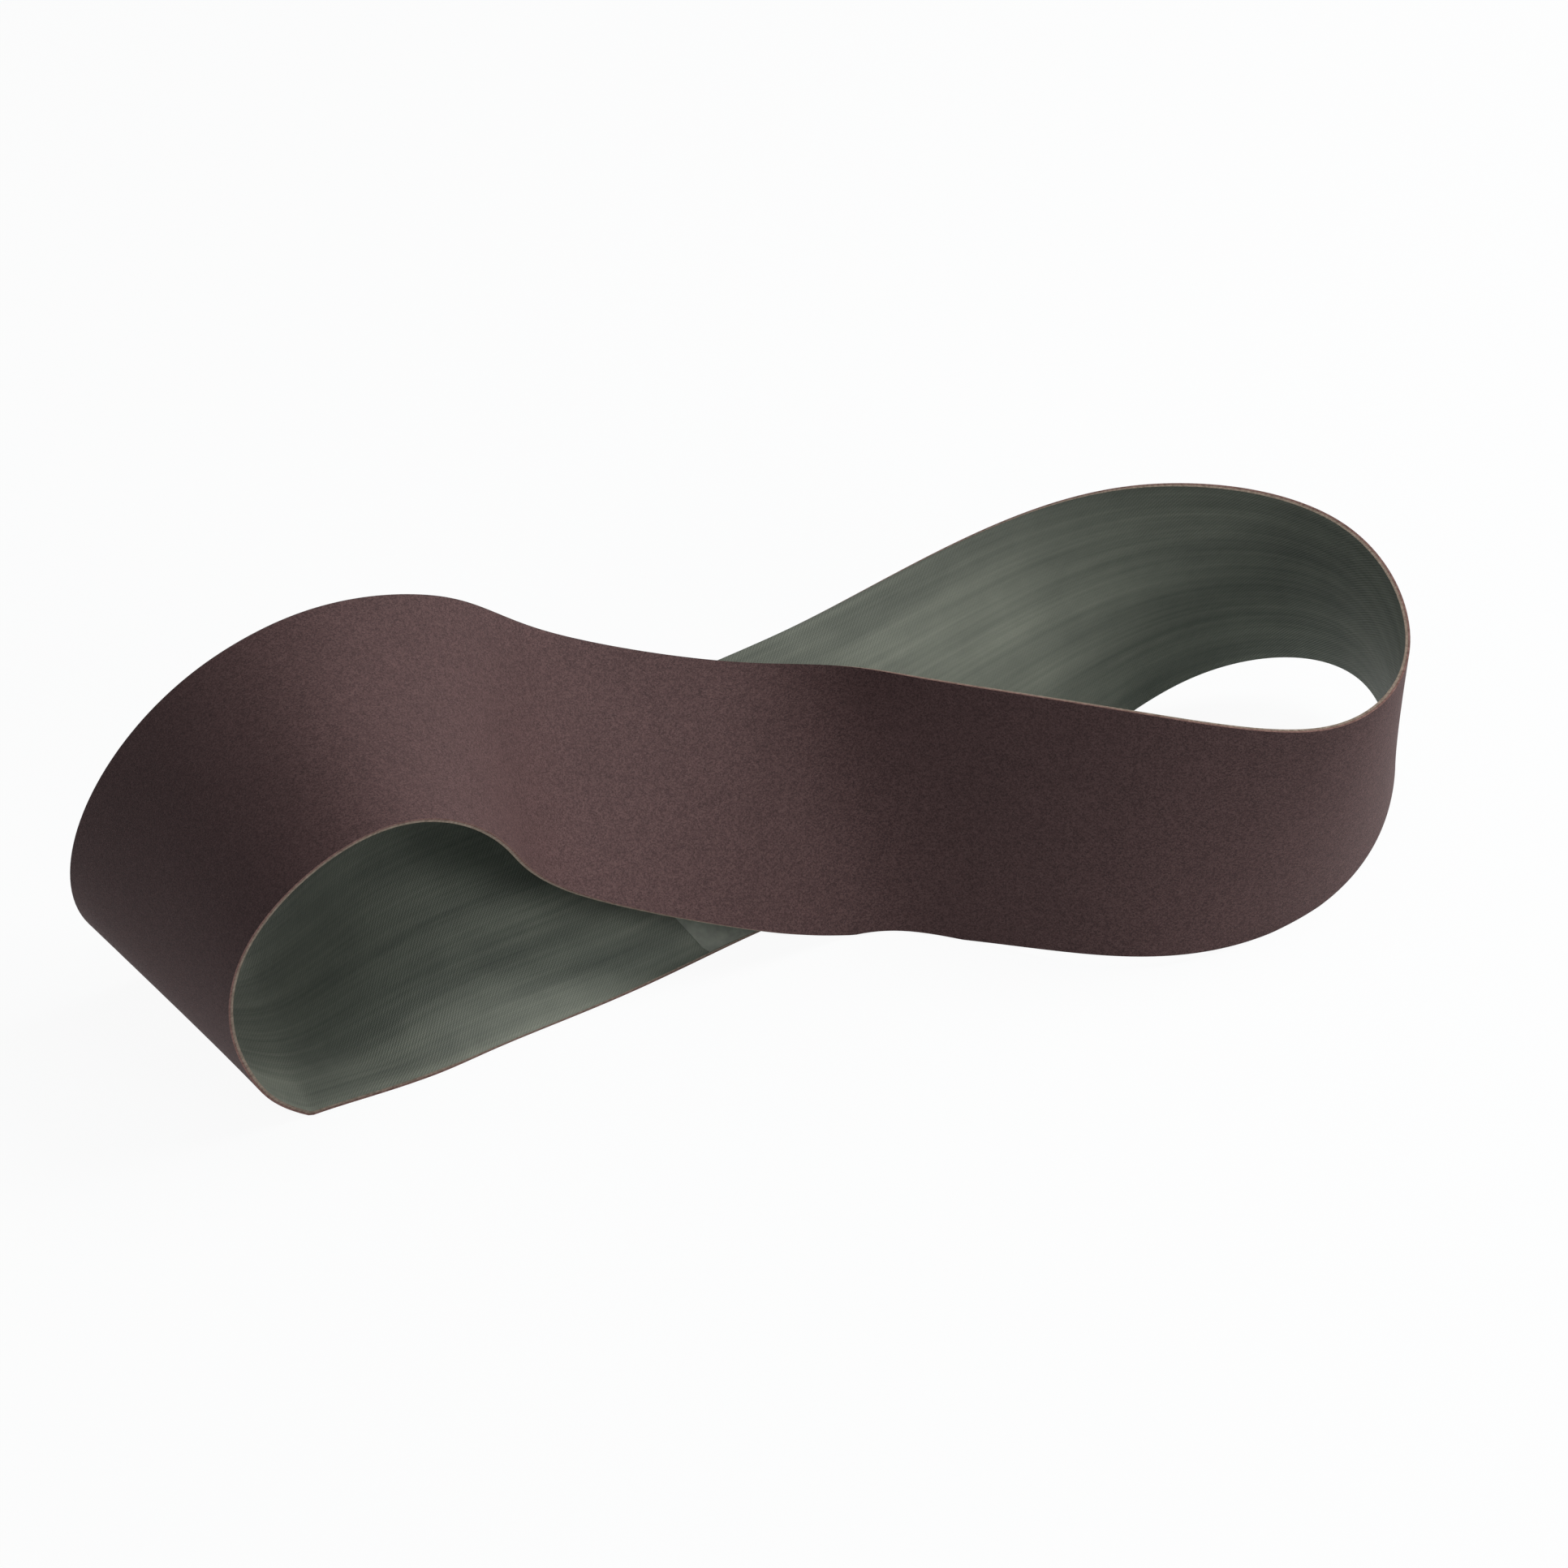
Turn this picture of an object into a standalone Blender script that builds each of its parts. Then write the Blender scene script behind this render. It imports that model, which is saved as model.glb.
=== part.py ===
# A cloth-backed sanding belt, lying loose on a bench.
# The endless strip makes two loops: the left one lies over on its side like a fallen
# hoop, and the right one stands on its cut edge. Between them both runs turn a quarter
# over, so the grain faces outward all the way round and the cloth faces inward.
# Metres, +Z up. The bench is z = 0 and +X runs along the belt from the lying loop to
# the standing one. The origin is on the bench, midway along and midway across.
import bpy
import bmesh
import numpy as np
from math import radians

# Driving dimensions
belt_length = 0.914          # once round the belt, along its middle
belt_width = 0.075
cloth_thickness = 0.0007
coat_thickness = 0.0006      # resin and grain together
glue_line = 0.00005          # between cloth and grain coat, and under the splice tape
tape_thickness = 0.00015
tape_reach = 0.020           # how far the splice tape runs along the belt
splice_place = 0.855         # share of the way round at which the ends are joined
settle = 0.0028              # how far its own weight presses it down on the bench
settle_height = 0.010        # height above the bench at which that has died away
settle_sharpness = 6         # how quickly it dies away where the belt leans
bench_slack = 0.08           # share of the thickness leaning stretches keep off the bench
pressed = 0.00010            # a face this near the bench lies flat on it
rim_angle = 40               # degrees; edges sharper than this are the cut rims

# How finely the surfaces are faceted
belt_rows = 160              # round the belt
belt_columns = 4             # across it
stretch_steps = 12           # passes that bring the path to belt_length

# The belt's path. Each station gives the middle of the belt in plan (x, y), the height
# of its near edge above the bench, and the line across the belt from its near edge to
# its far edge: the way that line points in plan, and how far it leans up from level.
# The stations are evenly spaced along the belt. Millimetres and degrees.
path_stations = (
    (-144, -3, 0, 93, 6),        # where the lying loop comes down on the bench
    (-176, -11, 27, 109, 2),
    (-171, -20, 76, 103, 8),     # left end of the lying loop
    (-130, -20, 104, 97, 12),    # crest
    (-87, -5, 78, 83, 22),
    (-57, 9, 40, 78, 33),
    (-5, 4, 13, 88, 43),         # foot of the slope down from the crest
    (37, -10, 0, 89, 65),
    (84, -49, 4, 71, 78),        # front run, its near edge almost down
    (134, -61, 0, 115, 97),
    (174, -36, 5, 73, 102),      # right end of the standing loop
    (182, 14, 16, 35, 109),
    (144, 44, 12, 5, 108),
    (93, 42, 4, 128, 65),        # back run, turning down to the lying loop
    (39, 28, 1, 112, 48),
    (-13, 19, 0, 105, 39),
    (-58, 8, 0, 103, 34),
    (-105, -1, 0, 98, 29),
)
stretch_from = -0.060        # only the path right of here moves when the length changes
stretch_to = 0.080           # right of here the standing loop moves as a whole
millimetre = 0.001


def clear_scene():
    for item in list(bpy.data.objects):
        bpy.data.objects.remove(item, do_unlink=True)


def closed_curve(points, samples):
    """Points on the smooth closed curve (a cubic spline) through evenly spaced points."""
    count = len(points)
    after = np.roll(np.eye(count), 1, axis=1)
    handles = np.linalg.solve((4 * np.eye(count) + after + after.T) / 6, points)
    place = np.arange(samples) * count / samples
    span = place.astype(int)
    part = (place - span)[:, None]
    curve = (1 - part) ** 3 * handles[(span - 1) % count]
    curve = curve + (3 * part ** 3 - 6 * part ** 2 + 4) * handles[span % count]
    curve = curve + (3 * part * (1 + part - part ** 2) + 1) * handles[(span + 1) % count]
    curve = curve + part ** 3 * handles[(span + 2) % count]
    return curve / 6


def station_table():
    """Middle of the belt and the line across it, at each station."""
    table = np.array(path_stations, dtype=float)
    middle = table[:, :3] * millimetre
    turn = np.radians(table[:, 3])
    lean = np.radians(table[:, 4])
    across = np.stack([np.cos(lean) * np.cos(turn), np.cos(lean) * np.sin(turn), np.sin(lean)], 1)
    middle[:, 2] += across[:, 2] * belt_width / 2
    return middle, across


def unit(vectors):
    return vectors / np.linalg.norm(vectors, axis=1)[:, None]


def stretched(middle, extra):
    """Move the standing loop along +X by extra, and the two runs with it in proportion."""
    share = np.clip((middle[:, 0] - stretch_from) / (stretch_to - stretch_from), 0, 1)
    moved = middle.copy()
    moved[:, 0] += share * extra
    return moved


def belt_path():
    """Middle line and the line across, round the whole belt, centred in plan."""
    middle, across = station_table()
    extra = 0.0
    for _ in range(stretch_steps):
        line = closed_curve(stretched(middle, extra), belt_rows)
        length = np.linalg.norm(np.roll(line, -1, axis=0) - line, axis=1).sum()
        extra += (belt_length - length) / 2
    line = closed_curve(stretched(middle, extra), belt_rows)
    along = unit(np.roll(line, -1, axis=0) - np.roll(line, 1, axis=0))
    side = closed_curve(across, belt_rows)
    side = unit(side - (side * along).sum(axis=1)[:, None] * along)
    edges = np.concatenate([line - side * belt_width / 2, line + side * belt_width / 2])
    line[:, :2] -= (edges.min(axis=0)[:2] + edges.max(axis=0)[:2]) / 2
    return line, side


def outward(points):
    """Direction out through the grain face at every point of the grid."""
    along = np.roll(points, -1, axis=0) - np.roll(points, 1, axis=0)
    across = np.gradient(points, axis=1)
    normal = np.cross(along, across)
    return normal / np.linalg.norm(normal, axis=2)[..., None]


def belt_points(path, lift):
    """Grid of points on the face that lies lift outward of the glue line."""
    line, side = path
    columns = np.linspace(-belt_width / 2, belt_width / 2, belt_columns + 1)
    points = line[:, None] + columns[None, :, None] * side[:, None]
    upward = outward(points)[..., 2]
    weight = np.clip(1 - points[..., 2] / settle_height, 0, 1)
    points[..., 2] -= settle * weight * np.clip(-upward, 0, 1) ** settle_sharpness
    below = np.where(upward < 0, coat_thickness, cloth_thickness) + glue_line / 2
    lowest = below * np.minimum(np.abs(upward) + bench_slack, 1)
    points[..., 2] = np.maximum(points[..., 2], lowest)
    return points + outward(points) * lift


def band_mesh(name, points, rows, slant):
    """Open band of triangles over these rows; slant steps it a row on at each column."""
    shape = bmesh.new()
    corner = {}
    for row in rows:
        for column in range(belt_columns + 1):
            key = ((row + slant * column) % belt_rows, column)
            if key not in corner:
                corner[key] = shape.verts.new(points[key])
    for row in rows[:-1]:
        for column in range(belt_columns):
            near = row + slant * column
            far = near + slant
            a = corner[near % belt_rows, column]
            b = corner[(near + 1) % belt_rows, column]
            c = corner[(far + 1) % belt_rows, column + 1]
            d = corner[far % belt_rows, column + 1]
            halves = ((a, b, d), (b, c, d)) if slant else ((a, b, c), (a, c, d))
            for half in halves:
                shape.faces.new(half)
    mesh = bpy.data.meshes.new(name)
    shape.to_mesh(mesh)
    shape.free()
    return mesh


def plain_material(name, colour, roughness):
    material = bpy.data.materials.new(name)
    material.use_nodes = True
    shader = material.node_tree.nodes["Principled BSDF"]
    shader.inputs["Base Color"].default_value = (*colour, 1.0)
    shader.inputs["Roughness"].default_value = roughness
    shader.inputs["Metallic"].default_value = 0.0
    material.diffuse_color = (*colour, 1.0)
    return material


def add_layer(collection, name, mesh, thickness, side, material):
    """Thicken an open face: side 1 grows outward of it, side -1 inward."""
    sheet = bpy.data.objects.new(name + "_sheet", mesh)
    collection.objects.link(sheet)
    solid = sheet.modifiers.new("thickness", "SOLIDIFY")
    solid.thickness = thickness
    solid.offset = side
    solid.use_even_offset = True
    seen = sheet.evaluated_get(bpy.context.evaluated_depsgraph_get())
    shell = bpy.data.meshes.new_from_object(seen)
    bpy.data.objects.remove(sheet, do_unlink=True)
    for corner in shell.vertices:
        if corner.co.z < pressed:
            corner.co.z = 0.0
    shell.materials.append(material)
    shell.shade_smooth()
    shell.set_sharp_from_angle(angle=radians(rim_angle))
    layer = bpy.data.objects.new(name, shell)
    collection.objects.link(layer)
    return layer


def abrasive_coat(collection, path):
    """Resin and grain, the outer face all the way round."""
    points = belt_points(path, glue_line / 2)
    mesh = band_mesh("abrasive_coat", points, range(belt_rows + 1), 0)
    brown = plain_material("red_brown_grain", (0.080, 0.044, 0.042), 0.88)
    return add_layer(collection, "abrasive_coat", mesh, coat_thickness, 1, brown)


def cloth_backing(collection, path):
    """Woven backing cloth, the inner face all the way round."""
    points = belt_points(path, -glue_line / 2)
    mesh = band_mesh("cloth_backing", points, range(belt_rows + 1), 0)
    green = plain_material("grey_green_cloth", (0.180, 0.190, 0.152), 0.82)
    return add_layer(collection, "cloth_backing", mesh, cloth_thickness, -1, green)


def splice_tape(collection, path):
    """Film tape that closes the slanted butt joint, on the inner face of the cloth."""
    points = belt_points(path, -glue_line / 2 - cloth_thickness - glue_line)
    taped_rows = round(tape_reach / belt_length * belt_rows)
    first = round(splice_place * belt_rows - (taped_rows + belt_columns) / 2)
    mesh = band_mesh("splice_tape", points, range(first, first + taped_rows + 1), 1)
    film = plain_material("pale_film", (0.42, 0.43, 0.38), 0.45)
    return add_layer(collection, "splice_tape", mesh, tape_thickness, -1, film)


def main():
    clear_scene()
    collection = bpy.data.collections.new("sanding_belt")
    bpy.context.scene.collection.children.link(collection)
    path = belt_path()
    abrasive_coat(collection, path)
    cloth_backing(collection, path)
    splice_tape(collection, path)


main()
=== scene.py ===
import bpy
import bmesh
import math
import numpy as np
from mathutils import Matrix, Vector


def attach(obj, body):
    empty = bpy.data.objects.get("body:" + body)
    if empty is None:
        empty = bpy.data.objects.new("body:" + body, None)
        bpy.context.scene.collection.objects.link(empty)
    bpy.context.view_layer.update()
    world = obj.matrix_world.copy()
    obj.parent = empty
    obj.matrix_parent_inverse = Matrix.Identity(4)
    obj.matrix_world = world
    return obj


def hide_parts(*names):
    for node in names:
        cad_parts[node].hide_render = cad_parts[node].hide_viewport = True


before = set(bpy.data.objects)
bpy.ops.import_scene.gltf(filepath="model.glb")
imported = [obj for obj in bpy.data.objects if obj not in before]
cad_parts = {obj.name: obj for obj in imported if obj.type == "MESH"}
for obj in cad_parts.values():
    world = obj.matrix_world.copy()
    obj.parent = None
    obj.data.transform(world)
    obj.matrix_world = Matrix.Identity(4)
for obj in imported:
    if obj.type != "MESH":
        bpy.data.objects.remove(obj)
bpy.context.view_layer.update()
scene = bpy.context.scene
print("frame loaded")

# The belt as it lies: the same stations as the CAD, in millimetres and degrees.
# x, y and height of the near edge, then the way the line across points and its lean.
belt = {
    "millimetre": 0.001,
    "length": 0.914,
    "width": 0.075,
    "clothThickness": 0.00071,
    "coatThickness": 0.00061,
    "glueGap": 0.00003,
    "settle": 0.0028,            # how far its weight presses it down where it lies
    "settleHeight": 0.010,
    "settleSharpness": 6,
    "benchSlack": 0.08,
    "stretchFrom": -0.060,
    "stretchTo": 0.080,
    "stretchSteps": 12,
    "pathSteps": 160,
    "probeAlong": 0.5,           # share of a path step used to find which way a face points
    "probeAcross": 0.01,         # the same across, as a share of the width
    "sharpAngle": 50,            # degrees; the cut edges are sharper than this
    "splicePlace": 0.85625,      # where the ends meet, as a share of the way round
    "spliceSlant": 0.02285,      # how far the joint runs along while it crosses
    "spliceGap": 0.00014,
    "stations": (
        (-144, -3, 0, 93, 6),
        (-176, -11, 27, 109, 2),
        (-171, -20, 76, 103, 8),
        (-130, -20, 104, 97, 12),
        (-87, -5, 78, 83, 22),
        (-57, 9, 40, 78, 33),
        (-5, 4, 13, 88, 43),
        (37, -10, 0, 89, 65),
        (84, -49, 4, 71, 78),
        (134, -61, 0, 115, 97),
        (174, -36, 5, 73, 102),
        (182, 14, 16, 35, 109),
        (144, 44, 12, 5, 108),
        (93, 42, 4, 128, 65),
        (39, 28, 1, 112, 48),
        (-13, 19, 0, 105, 39),
        (-58, 8, 0, 103, 34),
        (-105, -1, 0, 98, 29),
    ),
}


def splineHandles(values):
    count = len(values)
    after = np.roll(np.eye(count), 1, axis=1)
    return np.linalg.solve((4 * np.eye(count) + after + after.T) / 6, values)


def splineAt(handles, share):
    # smooth closed curve through evenly spaced stations; share is 0 to 1 round the belt
    count = len(handles)
    place = (share % 1.0) * count
    span = np.floor(place).astype(int)
    part = (place - span)[..., None]
    spot = (1 - part) ** 3 * handles[(span - 1) % count]
    spot = spot + (3 * part ** 3 - 6 * part ** 2 + 4) * handles[span % count]
    spot = spot + (3 * part * (1 + part - part ** 2) + 1) * handles[(span + 1) % count]
    spot = spot + part ** 3 * handles[(span + 2) % count]
    return spot / 6


def unit(vectors):
    return vectors / np.linalg.norm(vectors, axis=-1)[..., None]


def stationTable():
    table = np.array(belt["stations"], dtype=float)
    middle = table[:, :3] * belt["millimetre"]
    turn = np.radians(table[:, 3])
    lean = np.radians(table[:, 4])
    across = np.stack([np.cos(lean) * np.cos(turn), np.cos(lean) * np.sin(turn), np.sin(lean)], 1)
    middle[:, 2] += across[:, 2] * belt["width"] / 2
    return middle, across


def stretched(middle, extra):
    share = (middle[:, 0] - belt["stretchFrom"]) / (belt["stretchTo"] - belt["stretchFrom"])
    moved = middle.copy()
    moved[:, 0] += np.clip(share, 0, 1) * extra
    return moved


def settlePath():
    # slides the standing loop along until the belt is its real length, then centres it
    middle, across = stationTable()
    steps = np.arange(belt["pathSteps"]) / belt["pathSteps"]
    extra = 0.0
    for _ in range(belt["stretchSteps"]):
        line = splineAt(splineHandles(stretched(middle, extra)), steps)
        around = np.linalg.norm(np.roll(line, -1, axis=0) - line, axis=1).sum()
        extra += (belt["length"] - around) / 2
    belt["lineHandles"] = splineHandles(stretched(middle, extra))
    belt["sideHandles"] = splineHandles(across)
    flat = np.zeros(belt["pathSteps"])
    edges = np.concatenate([looseSurface(steps, flat - 0.5), looseSurface(steps, flat + 0.5)])
    centre = (edges.min(axis=0) + edges.max(axis=0)) / 2
    belt["lineHandles"] = belt["lineHandles"] - centre * (1, 1, 0)


def looseSurface(share, across):
    # the sheet midway between grain and cloth; across runs from -0.5 to 0.5
    line = splineAt(belt["lineHandles"], share)
    step = 1 / belt["pathSteps"]
    ahead = splineAt(belt["lineHandles"], share + step)
    behind = splineAt(belt["lineHandles"], share - step)
    along = unit(ahead - behind)
    side = splineAt(belt["sideHandles"], share)
    side = unit(side - (side * along).sum(axis=-1)[..., None] * along)
    return line + side * (across * belt["width"])[..., None]


def outwardOf(surface, share, across):
    # direction out through the grain face
    reach = belt["probeAlong"] / belt["pathSteps"]
    aside = belt["probeAcross"]
    along = surface(share + reach, across) - surface(share - reach, across)
    over = surface(share, across + aside) - surface(share, across - aside)
    return unit(np.cross(along, over))


def restedSurface(share, across):
    # the same sheet once its weight has settled it on the bench
    spot = looseSurface(share, across)
    upward = outwardOf(looseSurface, share, across)[..., 2]
    weight = np.clip(1 - spot[..., 2] / belt["settleHeight"], 0, 1)
    weight = weight * np.clip(-upward, 0, 1) ** belt["settleSharpness"]
    spot[..., 2] -= belt["settle"] * weight
    below = np.where(upward < 0, belt["coatThickness"], belt["clothThickness"]) + belt["glueGap"]
    lowest = below * np.minimum(np.abs(upward) + belt["benchSlack"], 1)
    spot[..., 2] = np.maximum(spot[..., 2], lowest)
    return spot


settlePath()
print("belt path settled")


# Cut strips: each starts as a flat grid, is bent round the path and gets its thickness.
def cutStrip(name, strip):
    sheet = bmesh.new()
    bmesh.ops.create_grid(
        sheet, x_segments=strip["steps"], y_segments=strip["across"], size=0.5)
    flat = np.array([vert.co for vert in sheet.verts])
    along = strip["from"] + (flat[:, 0] + 0.5) * (strip["to"] - strip["from"])
    along = along + flat[:, 1] * belt["spliceSlant"]
    share = belt["splicePlace"] + along / belt["length"]
    spots = restedSurface(share, flat[:, 1])
    spots = spots + outwardOf(restedSurface, share, flat[:, 1]) * strip["lift"]
    weave = sheet.loops.layers.uv.new("cloth")
    for face in sheet.faces:
        for loop in face.loops:
            loop[weave].uv = (along[loop.vert.index], flat[loop.vert.index, 1] * belt["width"])
    for vert, spot in zip(sheet.verts, spots):
        vert.co = spot
    sheet.normal_update()
    mesh = bpy.data.meshes.new(name)
    sheet.to_mesh(mesh)
    sheet.free()
    piece = bpy.data.objects.new(name, mesh)
    scene.collection.objects.link(piece)
    thick = piece.modifiers.new("thickness", "SOLIDIFY")
    thick.thickness = strip["thickness"]
    thick.offset = strip["grows"]
    thick.use_even_offset = True
    thick.material_offset_rim = 1
    for material in strip["materials"]:
        mesh.materials.append(material)
    bpy.context.view_layer.update()
    graph = bpy.context.evaluated_depsgraph_get()
    solid = bpy.data.meshes.new_from_object(piece.evaluated_get(graph))
    piece.modifiers.clear()
    piece.data = solid
    solid.shade_smooth()
    solid.set_sharp_from_angle(angle=math.radians(belt["sharpAngle"]))
    return piece


def newMaterial(name):
    material = bpy.data.materials.new(name)
    material.use_nodes = True
    tree = material.node_tree
    return material, tree.nodes, tree.links, tree.nodes["Principled BSDF"]


def addNode(nodes, kind, **settings):
    node = nodes.new(kind)
    for key, value in settings.items():
        setattr(node, key, value)
    return node


# Most of a noise pattern's values lie between these two
noiseSpread = (0.3, 0.7)


def noiseNode(nodes, links, coordinates, scale, detail=2.0, rough=0.5):
    node = nodes.new("ShaderNodeTexNoise")
    node.inputs["Scale"].default_value = scale
    node.inputs["Detail"].default_value = detail
    node.inputs["Roughness"].default_value = rough
    links.new(coordinates, node.inputs["Vector"])
    return node


def rangeNode(nodes, links, source, spread, tones):
    node = nodes.new("ShaderNodeMapRange")
    node.inputs["From Min"].default_value = spread[0]
    node.inputs["From Max"].default_value = spread[1]
    node.inputs["To Min"].default_value = tones[0]
    node.inputs["To Max"].default_value = tones[1]
    links.new(source, node.inputs["Value"])
    return node


def bumpNode(nodes, links, height, shader, look):
    node = nodes.new("ShaderNodeBump")
    node.inputs["Strength"].default_value = look["bump"]
    node.inputs["Distance"].default_value = look["bumpDepth"]
    links.new(height, node.inputs["Height"])
    links.new(node.outputs["Normal"], shader.inputs["Normal"])
    return node


def mathNode(nodes, links, operation, first, second):
    node = nodes.new("ShaderNodeMath")
    node.operation = operation
    for socket, value in zip(node.inputs, (first, second)):
        if isinstance(value, (int, float)):
            socket.default_value = value
        else:
            links.new(value, socket)
    return node


def tintNode(nodes, links, blend, factor, first, second):
    node = nodes.new("ShaderNodeMix")
    node.data_type = "RGBA"
    node.blend_type = blend
    for name, value in (("Factor_Float", factor), ("A_Color", first), ("B_Color", second)):
        socket = next(s for s in node.inputs if s.identifier == name)
        if isinstance(value, (int, float)):
            socket.default_value = value
        elif isinstance(value, tuple):
            socket.default_value = (*value, 1.0)
        else:
            links.new(value, socket)
    return node.outputs[2]


# Grain: closed coat of fine red-brown grit in dark resin
grain = {
    "dark": (0.042, 0.022, 0.022),
    "mid": (0.078, 0.041, 0.040),
    "pale": (0.116, 0.066, 0.063),
    "midFrom": 0.45,             # shares of the grit that are dark, then up to pale
    "paleFrom": 0.95,
    "gritSize": 0.00032,
    "mottleSize": 0.0028,
    "mottleSpread": (0.25, 0.75),
    "mottleTone": (0.90, 1.10),
    "cloudSize": 0.020,
    "cloudTone": (0.96, 1.04),
    "bump": 0.55,
    "bumpDepth": 0.00012,
    "roughness": 0.72,
    "specular": 0.19,
}


def grainMaterial():
    material, nodes, links, shader = newMaterial("redBrownGrain")
    spot = addNode(nodes, "ShaderNodeTexCoord").outputs["Object"]
    grit = addNode(nodes, "ShaderNodeTexVoronoi")
    grit.inputs["Scale"].default_value = 1 / grain["gritSize"]
    links.new(spot, grit.inputs["Vector"])
    ramp = addNode(nodes, "ShaderNodeValToRGB")
    ramp.color_ramp.elements[0].color = (*grain["dark"], 1)
    ramp.color_ramp.elements[1].color = (*grain["pale"], 1)
    ramp.color_ramp.elements[1].position = grain["paleFrom"]
    middle = ramp.color_ramp.elements.new(grain["midFrom"])
    middle.color = (*grain["mid"], 1)
    gritTone = addNode(nodes, "ShaderNodeSeparateColor")
    links.new(grit.outputs["Color"], gritTone.inputs["Color"])
    links.new(gritTone.outputs["Red"], ramp.inputs["Fac"])
    mottle = noiseNode(nodes, links, spot, 1 / grain["mottleSize"], 3.0, 0.6)
    mottleTone = rangeNode(
        nodes, links, mottle.outputs["Fac"], grain["mottleSpread"], grain["mottleTone"])
    cloud = noiseNode(nodes, links, spot, 1 / grain["cloudSize"], 2.0, 0.5)
    cloudTone = rangeNode(nodes, links, cloud.outputs["Fac"], noiseSpread, grain["cloudTone"])
    tone = mathNode(nodes, links, "MULTIPLY", mottleTone.outputs[0], cloudTone.outputs[0])
    colour = tintNode(nodes, links, "MULTIPLY", 1.0, ramp.outputs["Color"], tone.outputs[0])
    links.new(colour, shader.inputs["Base Color"])
    shader.inputs["Roughness"].default_value = grain["roughness"]
    shader.inputs["Specular IOR Level"].default_value = grain["specular"]
    bump = bumpNode(nodes, links, grit.outputs["Distance"], shader, grain)
    bump.invert = True
    return material


# Cloth: heavy twill filled with grey-green resin, streaked lengthwise
cloth = {
    "dark": (0.092, 0.101, 0.086),
    "pale": (0.262, 0.274, 0.222),
    "threadPitch": 0.00055,
    "streakWidth": 0.0016,
    "streakLength": 0.060,
    "streakTone": (-0.16, 0.16),
    "bandWidth": 0.010,
    "bandLength": 0.150,
    "bandTone": (-0.22, 0.22),
    "patchesPerMetre": 60.0,
    "patchTone": (-0.12, 0.12),
    "middleTone": 0.6,           # how far from dark to pale the cloth is on the whole
    "ridgeShare": 0.35,          # height of warp and weft ridges beside the twill line
    "weaveSpread": (-1.7, 1.7),
    "weaveTone": (0.965, 1.035),
    "bump": 0.4,
    "bumpDepth": 0.00008,
    "roughness": 0.62,
    "specular": 0.18,
}


def clothMaterial():
    material, nodes, links, shader = newMaterial("greyGreenCloth")
    laid = addNode(nodes, "ShaderNodeUVMap", uv_map="cloth").outputs["UV"]
    stretch = addNode(nodes, "ShaderNodeMapping")
    stretch.inputs["Scale"].default_value = (
        1 / cloth["streakLength"], 1 / cloth["streakWidth"], 1)
    links.new(laid, stretch.inputs["Vector"])
    streak = noiseNode(nodes, links, stretch.outputs["Vector"], 1.0, 3.0, 0.55)
    broad = addNode(nodes, "ShaderNodeMapping")
    broad.inputs["Scale"].default_value = (
        1 / cloth["bandLength"], 1 / cloth["bandWidth"], 1)
    links.new(laid, broad.inputs["Vector"])
    band = noiseNode(nodes, links, broad.outputs["Vector"], 1.0, 2.0, 0.5)
    blotch = noiseNode(nodes, links, laid, cloth["patchesPerMetre"], 3.0, 0.6)
    fine = rangeNode(nodes, links, streak.outputs["Fac"], noiseSpread, cloth["streakTone"])
    wide = rangeNode(nodes, links, band.outputs["Fac"], noiseSpread, cloth["bandTone"])
    patch = rangeNode(nodes, links, blotch.outputs["Fac"], noiseSpread, cloth["patchTone"])
    shade = mathNode(nodes, links, "ADD", fine.outputs[0], wide.outputs[0])
    shade = mathNode(nodes, links, "ADD", shade.outputs[0], patch.outputs[0])
    shade = mathNode(nodes, links, "ADD", shade.outputs[0], cloth["middleTone"])
    base = tintNode(nodes, links, "MIX", shade.outputs[0], cloth["dark"], cloth["pale"])
    # weave: warp and weft ridges, offset on each pick so the twill line runs across
    split = addNode(nodes, "ShaderNodeSeparateXYZ")
    links.new(laid, split.inputs["Vector"])
    turn = 2 * math.pi / cloth["threadPitch"]
    warpAngle = mathNode(nodes, links, "MULTIPLY", split.outputs["Y"], turn)
    weftAngle = mathNode(nodes, links, "MULTIPLY", split.outputs["X"], turn)
    twillAngle = mathNode(nodes, links, "ADD", warpAngle.outputs[0], weftAngle.outputs[0])
    twillAngle = mathNode(nodes, links, "MULTIPLY", twillAngle.outputs[0], 0.5)
    warp = mathNode(nodes, links, "SINE", warpAngle.outputs[0], 0.0)
    weft = mathNode(nodes, links, "SINE", weftAngle.outputs[0], 0.0)
    twill = mathNode(nodes, links, "SINE", twillAngle.outputs[0], 0.0)
    ridges = mathNode(nodes, links, "ADD", warp.outputs[0], weft.outputs[0])
    ridges = mathNode(nodes, links, "MULTIPLY", ridges.outputs[0], cloth["ridgeShare"])
    ridges = mathNode(nodes, links, "ADD", ridges.outputs[0], twill.outputs[0])
    weaveTone = rangeNode(
        nodes, links, ridges.outputs[0], cloth["weaveSpread"], cloth["weaveTone"])
    colour = tintNode(nodes, links, "MULTIPLY", 1.0, base, weaveTone.outputs[0])
    links.new(colour, shader.inputs["Base Color"])
    shader.inputs["Roughness"].default_value = cloth["roughness"]
    shader.inputs["Specular IOR Level"].default_value = cloth["specular"]
    bumpNode(nodes, links, ridges.outputs[0], shader, cloth)
    return material


# Cut edges: raw cloth shows tan, and the broken resin layer a pinkish brown
edge = {
    "clothDark": (0.170, 0.125, 0.095),
    "clothPale": (0.360, 0.280, 0.220),
    "resinDark": (0.130, 0.068, 0.056),
    "resinPale": (0.290, 0.165, 0.140),
    "fleckSize": 0.0009,
    "roughness": 0.9,
    "specular": 0.2,
    "bump": 0.6,
    "bumpDepth": 0.0001,
}


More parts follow.
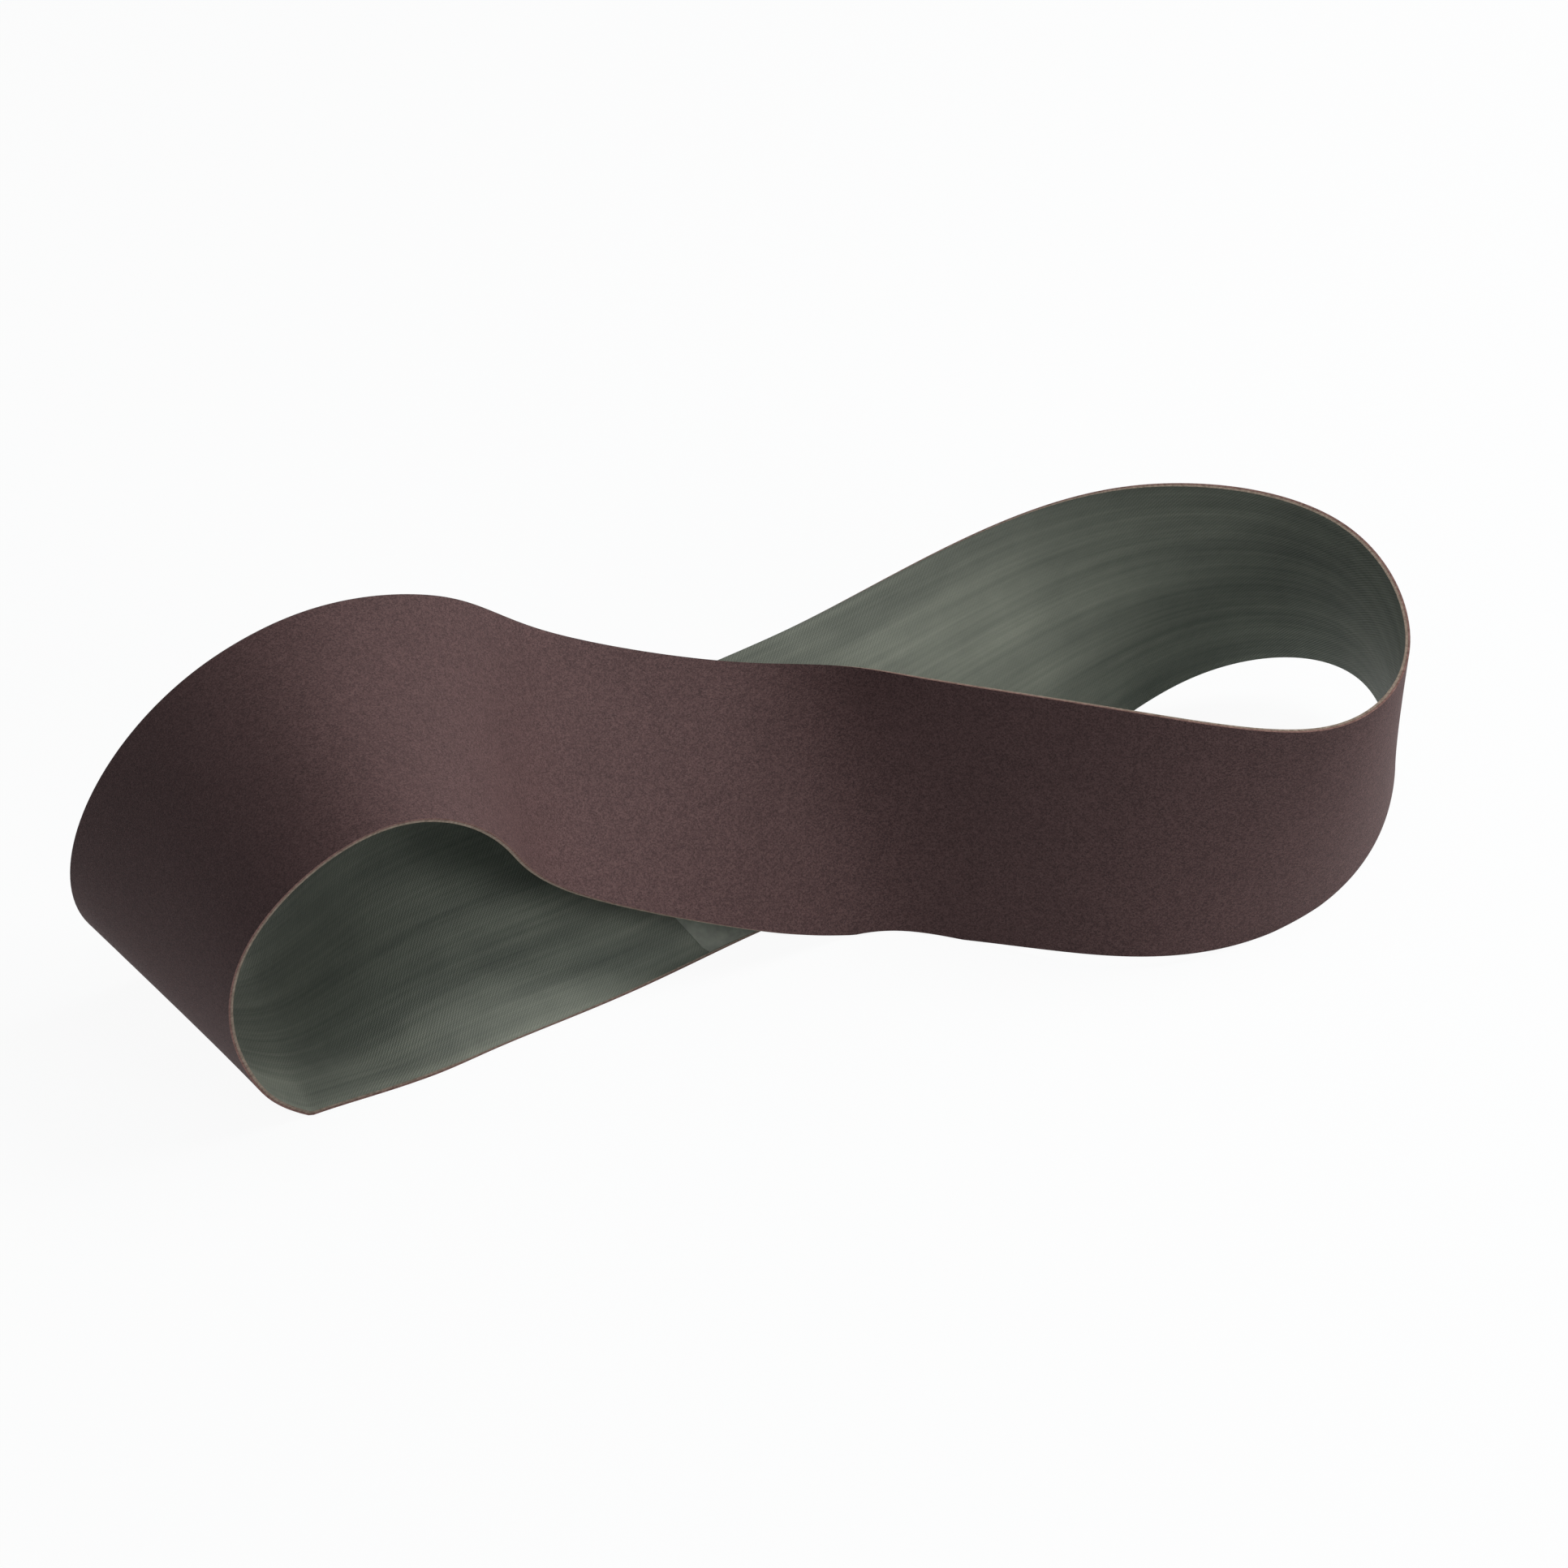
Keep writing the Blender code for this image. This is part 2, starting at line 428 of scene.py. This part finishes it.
def edgeMaterial(name, dark, pale):
    material, nodes, links, shader = newMaterial(name)
    spot = addNode(nodes, "ShaderNodeTexCoord").outputs["Object"]
    fleck = noiseNode(nodes, links, spot, 1 / edge["fleckSize"], 3.0, 0.6)
    tone = rangeNode(nodes, links, fleck.outputs["Fac"], noiseSpread, (0.0, 1.0))
    colour = tintNode(nodes, links, "MIX", tone.outputs[0], dark, pale)
    links.new(colour, shader.inputs["Base Color"])
    shader.inputs["Roughness"].default_value = edge["roughness"]
    shader.inputs["Specular IOR Level"].default_value = edge["specular"]
    bumpNode(nodes, links, fleck.outputs["Fac"], shader, edge)
    return material


# Splice tape: thin pale film pressed over the joint on the cloth side
film = {
    "dark": (0.260, 0.270, 0.230),
    "pale": (0.400, 0.410, 0.350),
    "roughness": 0.34,
    "reach": 0.0228,             # how far the tape runs along the belt
    "thickness": 0.00014,
    "smearsPerMetre": 240.0,
    "bump": 0.3,
    "bumpDepth": 0.00005,
}


def filmMaterial():
    material, nodes, links, shader = newMaterial("paleFilm")
    laid = addNode(nodes, "ShaderNodeUVMap", uv_map="cloth").outputs["UV"]
    smear = noiseNode(nodes, links, laid, film["smearsPerMetre"], 4.0, 0.6)
    tone = rangeNode(nodes, links, smear.outputs["Fac"], noiseSpread, (0.0, 1.0))
    colour = tintNode(nodes, links, "MIX", tone.outputs[0], film["dark"], film["pale"])
    links.new(colour, shader.inputs["Base Color"])
    shader.inputs["Roughness"].default_value = film["roughness"]
    bumpNode(nodes, links, smear.outputs["Fac"], shader, film)
    return material


clothEdge = edgeMaterial("rawClothEdge", edge["clothDark"], edge["clothPale"])
resinEdge = edgeMaterial("resinEdge", edge["resinDark"], edge["resinPale"])
print("materials mixed")

fullLength = {
    "steps": 420,
    "across": 22,
    "from": belt["spliceGap"] / 2,
    "to": belt["length"] - belt["spliceGap"] / 2,
}
grainStrip = {
    **fullLength,
    "lift": belt["glueGap"] / 2,
    "thickness": belt["coatThickness"],
    "grows": 1,
    "materials": (grainMaterial(), resinEdge),
}
clothStrip = {
    **fullLength,
    "lift": -belt["glueGap"] / 2,
    "thickness": belt["clothThickness"],
    "grows": -1,
    "materials": (clothMaterial(), clothEdge),
}
filmFace = filmMaterial()
tapeStrip = {
    "steps": 16,
    "across": 22,
    "from": -film["reach"] / 2,
    "to": film["reach"] / 2,
    "lift": -belt["clothThickness"] - belt["glueGap"] * 2.5,
    "thickness": film["thickness"],
    "grows": -1,
    "materials": (filmFace, filmFace),
}

grainCoat = cutStrip("grainCoat", grainStrip)
clothBacking = cutStrip("clothBacking", clothStrip)
spliceTape = cutStrip("spliceTape", tapeStrip)
print("strips cut and bent")

for piece, node, slot in (
        (grainCoat, "abrasive_coat", "grain"),
        (clothBacking, "cloth_backing", "cloth"),
        (spliceTape, "splice_tape", "film")):
    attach(piece, "root")
    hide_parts(node)

# Studio: white bench, soft light from the upper right and a little from the front.
# A lamp has its name, place, width and height in metres, power in watts and colour.
studio = {
    "benchSize": 6.0,
    "benchDrop": 0.00003,        # keeps the bench from sharing a plane with the belt
    "benchColour": (0.83, 0.86, 0.87),
    "benchRoughness": 0.9,
    "benchSpecular": 0.1,
    "benchWhite": 0.94,          # how much of the bench's shade the camera doesn't see
    "backdrop": (1.0, 1.0, 1.0),
    "ambient": (0.024, 0.040, 0.052),
    "lamps": (
        ("sideLamp", (1.41, -0.05, 0.75), 0.8, 0.6, 8.0, (1.0, 1.0, 1.0)),
        ("highLamp", (0.85, -0.05, 1.36), 0.8, 0.8, 11.5, (1.0, 1.0, 1.0)),
        ("topLamp", (0.05, 0.0, 1.65), 0.8, 0.8, 3.0, (1.0, 1.0, 1.0)),
        ("frontLamp", (0.66, -1.26, 0.70), 0.7, 0.5, 6.4, (1.0, 1.0, 1.0)),
        ("leftLamp", (-0.42, -0.74, 1.36), 0.7, 0.7, 1.0, (0.75, 0.95, 1.0)),
    ),
}


def seenRays(nodes, links):
    rays = addNode(nodes, "ShaderNodeLightPath")
    seen = mathNode(nodes, links, "MAXIMUM", rays.outputs["Is Camera Ray"],
                    rays.outputs["Is Transmission Ray"])
    return mathNode(nodes, links, "MAXIMUM", seen.outputs[0], rays.outputs["Is Glossy Ray"])


def layBench():
    sheet = bmesh.new()
    bmesh.ops.create_grid(
        sheet, x_segments=1, y_segments=1, size=studio["benchSize"] / 2)
    mesh = bpy.data.meshes.new("bench")
    sheet.to_mesh(mesh)
    sheet.free()
    bench = bpy.data.objects.new("bench", mesh)
    bench.location.z = -studio["benchDrop"]
    scene.collection.objects.link(bench)
    material, nodes, links, shader = newMaterial("whiteBench")
    shader.inputs["Base Color"].default_value = (*studio["benchColour"], 1)
    shader.inputs["Roughness"].default_value = studio["benchRoughness"]
    shader.inputs["Specular IOR Level"].default_value = studio["benchSpecular"]
    glow = addNode(nodes, "ShaderNodeEmission")
    share = mathNode(nodes, links, "MULTIPLY", seenRays(nodes, links).outputs[0],
                     studio["benchWhite"])
    blend = addNode(nodes, "ShaderNodeMixShader")
    links.new(share.outputs[0], blend.inputs["Fac"])
    links.new(shader.outputs["BSDF"], blend.inputs[1])
    links.new(glow.outputs["Emission"], blend.inputs[2])
    links.new(blend.outputs["Shader"], nodes["Material Output"].inputs["Surface"])
    mesh.materials.append(material)


def lightRoom():
    world = bpy.data.worlds.new("paleRoom")
    world.use_nodes = True
    scene.world = world
    nodes = world.node_tree.nodes
    links = world.node_tree.links
    air = nodes["Background"]
    colour = tintNode(
        nodes, links, "MIX", seenRays(nodes, links).outputs[0],
        studio["ambient"], studio["backdrop"])
    links.new(colour, air.inputs["Color"])
    for name, spot, wide, high, power, tint in studio["lamps"]:
        lamp = bpy.data.lights.new(name, "AREA")
        lamp.shape = "ELLIPSE"
        lamp.size = wide
        lamp.size_y = high
        lamp.energy = power
        lamp.color = tint
        holder = bpy.data.objects.new(name, lamp)
        holder.location = spot
        holder.rotation_euler = (-Vector(spot)).to_track_quat("-Z", "Y").to_euler()
        scene.collection.objects.link(holder)


layBench()
lightRoom()
print("studio lit")

camera = {
    "place": (-0.41791, -1.15434, 1.00691),
    "looks": (0.26951, 0.74049, -0.61566),
    "lens": 130.43,
    "sensor": 36.0,
    "nearClip": 0.05,
}
eye = bpy.data.cameras.new("photoView")
eye.lens = camera["lens"]
eye.sensor_width = camera["sensor"]
eye.clip_start = camera["nearClip"]
holder = bpy.data.objects.new("photoView", eye)
holder.location = camera["place"]
holder.rotation_euler = Vector(camera["looks"]).to_track_quat("-Z", "Y").to_euler()
scene.collection.objects.link(holder)
scene.camera = holder
scene.view_settings.view_transform = "Standard"
print("camera placed")
